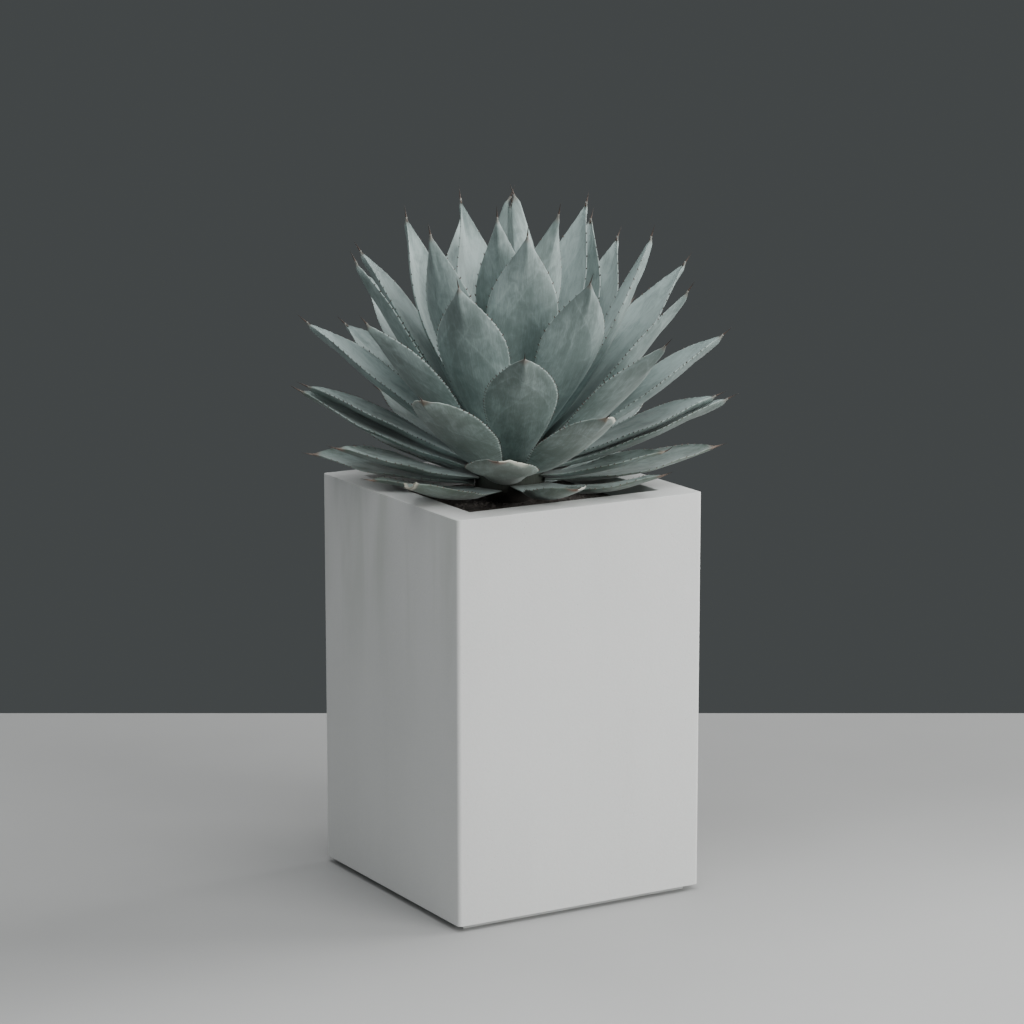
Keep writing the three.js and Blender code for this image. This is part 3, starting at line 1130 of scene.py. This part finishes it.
    def tooth_places(self) -> tuple[list[float], list[float]]:
        """Distances from the base of the teeth on the left and right margins."""
        sides: tuple[list[float], list[float]] = ([], [])
        pitch = self.by_seat(9.0 * MM, 6.2 * MM, 13.0 * MM, 0.95)
        end = self.blade * (0.6 if self.in_bud else 0.92)
        for places in sides:
            travel = self.blade * self.draw.uniform(0.2, 0.26)
            while travel < end:
                places.append(travel)
                travel += pitch * self.draw.uniform(0.75, 1.25)
        return sides

    def build(self, skin: bpy.types.Material, horn: bpy.types.Material) -> bpy.types.Object:
        """Model and dress the leaf.

        Args:
            skin: finish of the blade.
            horn: finish of the teeth and the spine.

        Returns:
            The leaf.
        """
        bm = bmesh.new()
        state = bm.verts.layers.float_color.new("state")
        wear_and_lit_face = bm.verts.layers.float_color.new("wear_and_lit_face")
        maps = [bm.loops.layers.uv.new("blade"), bm.loops.layers.uv.new("imprint")]
        spikes = list(self.teeth())
        if not self.torn:
            spikes.append(self.end_spine())
        self.add_spikes(bm, state, spikes)
        self.add_blade(bm, state, wear_and_lit_face, maps)
        bmesh.ops.recalc_face_normals(bm, faces=bm.faces[:])
        name = f"agave_leaf_{self.number:02d}"
        slot = "leaf_low" if self.number <= LOW_LEAVES else "leaf"
        node = f"leaf_{self.number:02d}"
        return finish_piece(bm, name, [skin, horn], [node], self.crisp)

    def add_spikes(self, bm: bmesh.types.BMesh, state: Any, spikes: Sequence[Spike]) -> None:
        """Extrude closed, tapering spikes of horn, all at once.

        Args:
            bm: the mesh, still empty.
            state: layer of share along the spike, margin, age and seed.
            spikes: the spikes.
        """
        mark = bm.faces.layers.int.new("spike")
        low, caps, moves = self.spike_steps[0], [], []
        for i, spike in enumerate(spikes):
            made = bmesh.ops.create_cone(bm, cap_ends=True, cap_tris=False, radius1=1.0,
                                         radius2=1.0, depth=1.0, segments=spike.sides)
            for vert in made["verts"]:
                moves.append((vert, i, *(low if vert.co.z > 0 else (0.0, 1.0))))
            upper = next(v for v in made["verts"] if v.co.z > 0)
            cap = next(f for f in upper.link_faces if len(f.verts) == spike.sides
                       and all(v.co.z > 0 for v in f.verts))
            cap[mark] = i
            caps.append(cap)
        for height, radius in self.spike_steps[1:]:
            caps = bmesh.ops.extrude_discrete_faces(bm, faces=caps)["faces"]
            moves.extend((v, cap[mark], height, radius) for cap in caps for v in cap.verts)
        for vert, i, height, radius in moves:
            vert[state] = (height, 1.0, self.age, 0.5)
            vert.co = spikes[i].point(vert.co.x * radius, vert.co.y * radius, height)
        for face in bm.faces:
            face.material_index = 1
        bm.faces.layers.int.remove(mark)

    def add_blade(self, bm: bmesh.types.BMesh, state: Any, wear_and_lit_face: Any, maps: list[Any]) -> None:
        """Bend a flat slab, gridded along and across, into the blade.

        Args:
            bm: the mesh, with the spikes.
            state: layer of share along, nearness to the margin, age and seed.
            wear_and_lit_face: layer of dryness and scarring, and which face is the upper one, which
                the skin paints paler as painted light.
            maps: the map in metres on the blade, and the imprints of its neighbours.
        """
        upper = bmesh.ops.create_grid(bm, x_segments=self.columns, y_segments=self.rows,
                                      size=1.0)["verts"]
        sheet = list({face for vert in upper for face in vert.link_faces})
        made = bmesh.ops.extrude_face_region(bm, geom=sheet, use_keep_orig=True)
        lower = [g for g in made["geom"] if isinstance(g, bmesh.types.BMVert)]
        bmesh.ops.translate(bm, verts=lower, vec=(0, 0, -1))
        rings = [self.ring(i / self.rows) for i in range(self.rows + 1)]
        seed = self.draw.random()
        flat: dict[bmesh.types.BMVert, tuple[float, float, float, float]] = {}
        for vert in upper + lower:
            across = math.copysign(1 - (1 - abs(vert.co.x)) ** 1.3, vert.co.x)
            ring = rings[round((vert.co.y + 1) / 2 * self.rows)]
            vert[state] = (ring.share, abs(across), self.green, seed)
            # the third channel marks the upper face, which the skin paints paler as painted light
            vert[wear_and_lit_face] = (*self.wear_at(across, ring), 1.0 + vert.co.z, 1.0)
            aside = across * ring.half
            prints = [self.imprint(aside, ring.travel, *p) for p in self.prints]
            flat[vert] = (aside, ring.travel, *prints)
            vert.co = self.point(ring, across, -vert.co.z)
        for face in bm.faces:
            for loop in face.loops:
                if loop.vert in flat:
                    a, b, c, d = flat[loop.vert]
                    loop[maps[0]].uv, loop[maps[1]].uv = (a, b), (c, d)

    def imprint(self, aside: float, travel: float, shift: float, start: float) -> float:
        """Millimetres outside the outline that a pressed neighbour left on the blade.

        Args:
            aside: place across, in metres.
            travel: place along, in metres.
            shift: how far aside the neighbour lay.
            start: how far down it lay.

        Returns:
            The distance, negative inside the outline.
        """
        share = (travel + start) / self.blade
        if share >= 1.0:
            return self.no_print
        return (abs(aside - shift) - self.plan.width * MM / 2 * self.breadth(share)) / MM

    def wear_at(self, across: float, ring: Ring) -> tuple[float, float]:
        """Dryness and scarring at a place of the blade."""
        end, share = self.plan.end, ring.share
        if end is Ending.PLAIN:
            return 0.0, 0.0
        if end is Ending.RAGGED:
            return step(share, 0.95, 0.99), step(share, 0.985, 1.0) * 0.4
        if end is Ending.HOOKED:
            return step(share, 0.95, 1.0) * 0.5, step(share, 0.9, 1.0) * 0.4
        way = -1 if end is Ending.ROLLED_LEFT else 1
        dry = step(share, 0.78, 0.88) * step(across * way, 0.72, 0.92)
        left = self.blade - ring.travel
        scar = math.exp(-(((left - 3 * MM) / (3 * MM)) ** 2)
                        - (across * ring.half / (3.5 * MM)) ** 2)
        return dry * (0.8 if way > 0 else 0.25), scar * 0.8

    def teeth(self) -> Iterable[Spike]:
        """A small hooked tooth on each hump of both margins."""
        form = self.tooth_form
        for across, places in zip((-1.0, 1.0), self.toothed):
            for travel in places:
                ring, ahead = self.ring(travel / self.blade), self.ring(travel / self.blade + 0.01)
                spot = self.point(ring, across, 0.5)
                run = (self.point(ahead, across, 0.5) - spot).normalized()
                outward = spot - self.point(ring, across * 0.9, 0.5)
                outward = (outward - run * outward.dot(run)).normalized()
                size = self.draw.uniform(*self.tooth) * mix(0.8, 1.0, step(ring.share, 0.0, 0.5))
                size *= 1 - 0.4 * step(ring.share, 0.8, 0.95)
                size *= 1 + 0.1 * step(self.seat, 0.6, 0.9)
                yield Spike(spot, run * size * form.along,
                            run.cross(outward) * size * form.through,
                            outward * size * form.out, run * size * form.hook, form.sunk)

    def end_spine(self) -> Spike:
        """The end spine: a slender spike that starts inside the blade's tip."""
        end, radius = self.ring(1.0), 0.85 * self.spine_radius
        bent = end.side * self.draw.uniform(-0.8, 0.8) * MM
        if self.plan.end is Ending.HOOKED:
            bent = end.normal * self.hook
        return Spike(end.centre - end.normal * end.thick / 2, end.side * radius,
                     end.normal * radius, end.along * (self.spine * 1.25 + self.buried), bent,
                     self.buried / (self.spine + self.buried), 10)


@dataclass
class Rosette:
    """The whole rosette: where each leaf starts on the stump's rounded head."""

    rim: float = 475 * MM
    turn: float = -30.4
    base_low: float = -4 * MM
    base_high: float = 66 * MM
    base_out: float = 41 * MM
    base_in: float = 6 * MM
    shoulder: float = 2.4
    crowding: float = 0.95
    lift: float = 1 * MM

    def base(self, seat: float) -> tuple[float, float]:
        """Distance from the axis and height above the lip of a leaf's start."""
        out = self.base_in + (self.base_out - self.base_in) * math.sqrt(
            max(0.0, 1 - seat ** self.shoulder))
        return out, mix(self.base_low, self.base_high, seat ** self.crowding)

    def build(self, skin: bpy.types.Material,
              horn: bpy.types.Material) -> list[bpy.types.Object]:
        """Model and dress every leaf.

        Args:
            skin: finish of the blades.
            horn: finish of the teeth and spines.

        Returns:
            The leaves.
        """
        leaves = []
        for i, plan in enumerate(PLANS):
            seat = i / (len(PLANS) - 1)
            around = math.radians(plan.turn + self.turn)
            out, height = self.base(seat)
            height += self.rim + (self.lift if seat == 1 else 0)
            leaf = Leaf(i + 1, plan, seat, (out, height), around)
            leaves.append(leaf.build(skin, horn))
        return leaves


# ---- stage ----------------------------------------------------------------------------------


@dataclass(frozen=True)
class Lamp:
    """A soft square lamp that faces the planter.

    Its azimuth is in degrees round the object, 0 in front, towards -Y; its elevation in degrees
    above the floor; its power in watts.
    """

    name: str
    azimuth: float
    elevation: float
    size: float
    power: float
    colour: Colour
    distance: float = 6.0
    aim: float = 0.5

    def build(self) -> None:
        """Hang the lamp."""
        data = bpy.data.lights.new(self.name, "AREA")
        data.shape, data.size, data.energy, data.color = (
            "SQUARE", self.size, self.power, self.colour)
        lamp = bpy.data.objects.new(self.name, data)
        a, e = math.radians(self.azimuth), math.radians(self.elevation)
        back = Vector((math.sin(a) * math.cos(e), -math.cos(a) * math.cos(e), math.sin(e)))
        lamp.location = Vector((0, 0, self.aim)) + back * self.distance
        lamp.rotation_mode = "QUATERNION"
        lamp.rotation_quaternion = (-back).to_track_quat("-Z", "Y")
        lamp.visible_camera = False
        bpy.context.scene.collection.objects.link(lamp)


@dataclass
class Studio:
    """Floor, soft lamps, dim surround and the camera, whose place and lens fit the photograph."""

    yaw: float = -30.39
    pitch: float = 11.587
    eye: tuple[float, float, float] = (-2.0610, -3.5190, 1.2761)
    lens: float = 125.84
    sensor: float = 36.0
    far: float = 60.0
    floor_half: float = 0.75
    dim: Colour = (0.063, 0.069, 0.070)
    lamps: tuple[Lamp, ...] = (
        Lamp("key", 20.0, 15.0, 3.6, 330.0, (1.0, 0.99, 0.975)),
        Lamp("fill", -75.0, 34.0, 4.5, 106.0, (0.965, 0.985, 1.0)),
        Lamp("high", -12.0, 62.0, 5.0, 245.0, (0.99, 0.995, 1.0)),
        Lamp("right", 80.0, 20.0, 4.0, 430.0, (1.0, 0.995, 0.985)),
        Lamp("back", 170.0, 40.0, 4.5, 80.0, (0.99, 0.995, 1.0)),
        Lamp("overhead", 20.0, 86.0, 5.0, 80.0, (0.99, 0.995, 1.0), 5.0),
    )

    def build(self) -> None:
        """Set up the stage."""
        self.floor()
        self.surround()
        for lamp in self.lamps:
            lamp.build()
        self.camera()

    def floor(self) -> None:
        """A plain square floor, turned to the camera."""
        bm = bmesh.new()
        bmesh.ops.create_grid(bm, x_segments=2, y_segments=2, size=self.floor_half)
        bmesh.ops.rotate(bm, verts=bm.verts[:], matrix=Matrix.Rotation(
            math.radians(self.yaw), 3, "Z"))
        mesh = bpy.data.meshes.new("floor")
        bm.to_mesh(mesh)
        bm.free()
        mesh.materials.append(PaleFloor().make())
        floor = bpy.data.objects.new("floor", mesh)
        bpy.context.scene.collection.objects.link(floor)
        floor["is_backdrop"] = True

    def surround(self) -> None:
        """A dim grey surround."""
        world = bpy.data.worlds.new("surround")
        world.use_nodes = True
        backdrop = world.node_tree.nodes["Background"]
        backdrop.inputs["Color"].default_value = (*self.dim, 1.0)
        bpy.context.scene.world = world

    def camera(self) -> None:
        """The camera, at the photograph's angle."""
        data = bpy.data.cameras.new("camera")
        data.lens, data.sensor_width, data.clip_end = self.lens, self.sensor, self.far
        camera = bpy.data.objects.new("camera", data)
        camera.location = self.eye
        camera.rotation_euler = (math.radians(90 - self.pitch), 0, math.radians(self.yaw))
        bpy.context.scene.collection.objects.link(camera)
        bpy.context.scene.camera = camera


def write_sizes() -> None:
    boxes = {"cad": CAD_BOX, "visual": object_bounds()}
    {k: [list(corner) for corner in v] for k, v in boxes.items()}


def main() -> None:
    """Build the object and its stage."""
    logging.basicConfig(level=logging.INFO, format="%(name)s: %(message)s")
    rosette = Rosette()
    steps: list[tuple[str, Callable[[], Any]]] = [
        ("planter", lambda: Planter().build(CastStone().make())),
        ("soil", lambda: SoilBed().build(PottingMix().make())),
        ("stump", lambda: Stump().build(rosette, StumpSkin().make())),
        ("leaves", lambda: rosette.build(WaxyLeaf().make(), Horn().make())),
        ("studio", lambda: Studio().build()),
    ]
    for name, make in steps:
        made = make()
        if isinstance(made, bpy.types.Object):
            made = [made]
        for piece in made or []:
            log.info("%s: %s, %d faces", name, piece.name, len(piece.data.polygons))
    write_sizes()


if __name__ == "__main__":
    main()
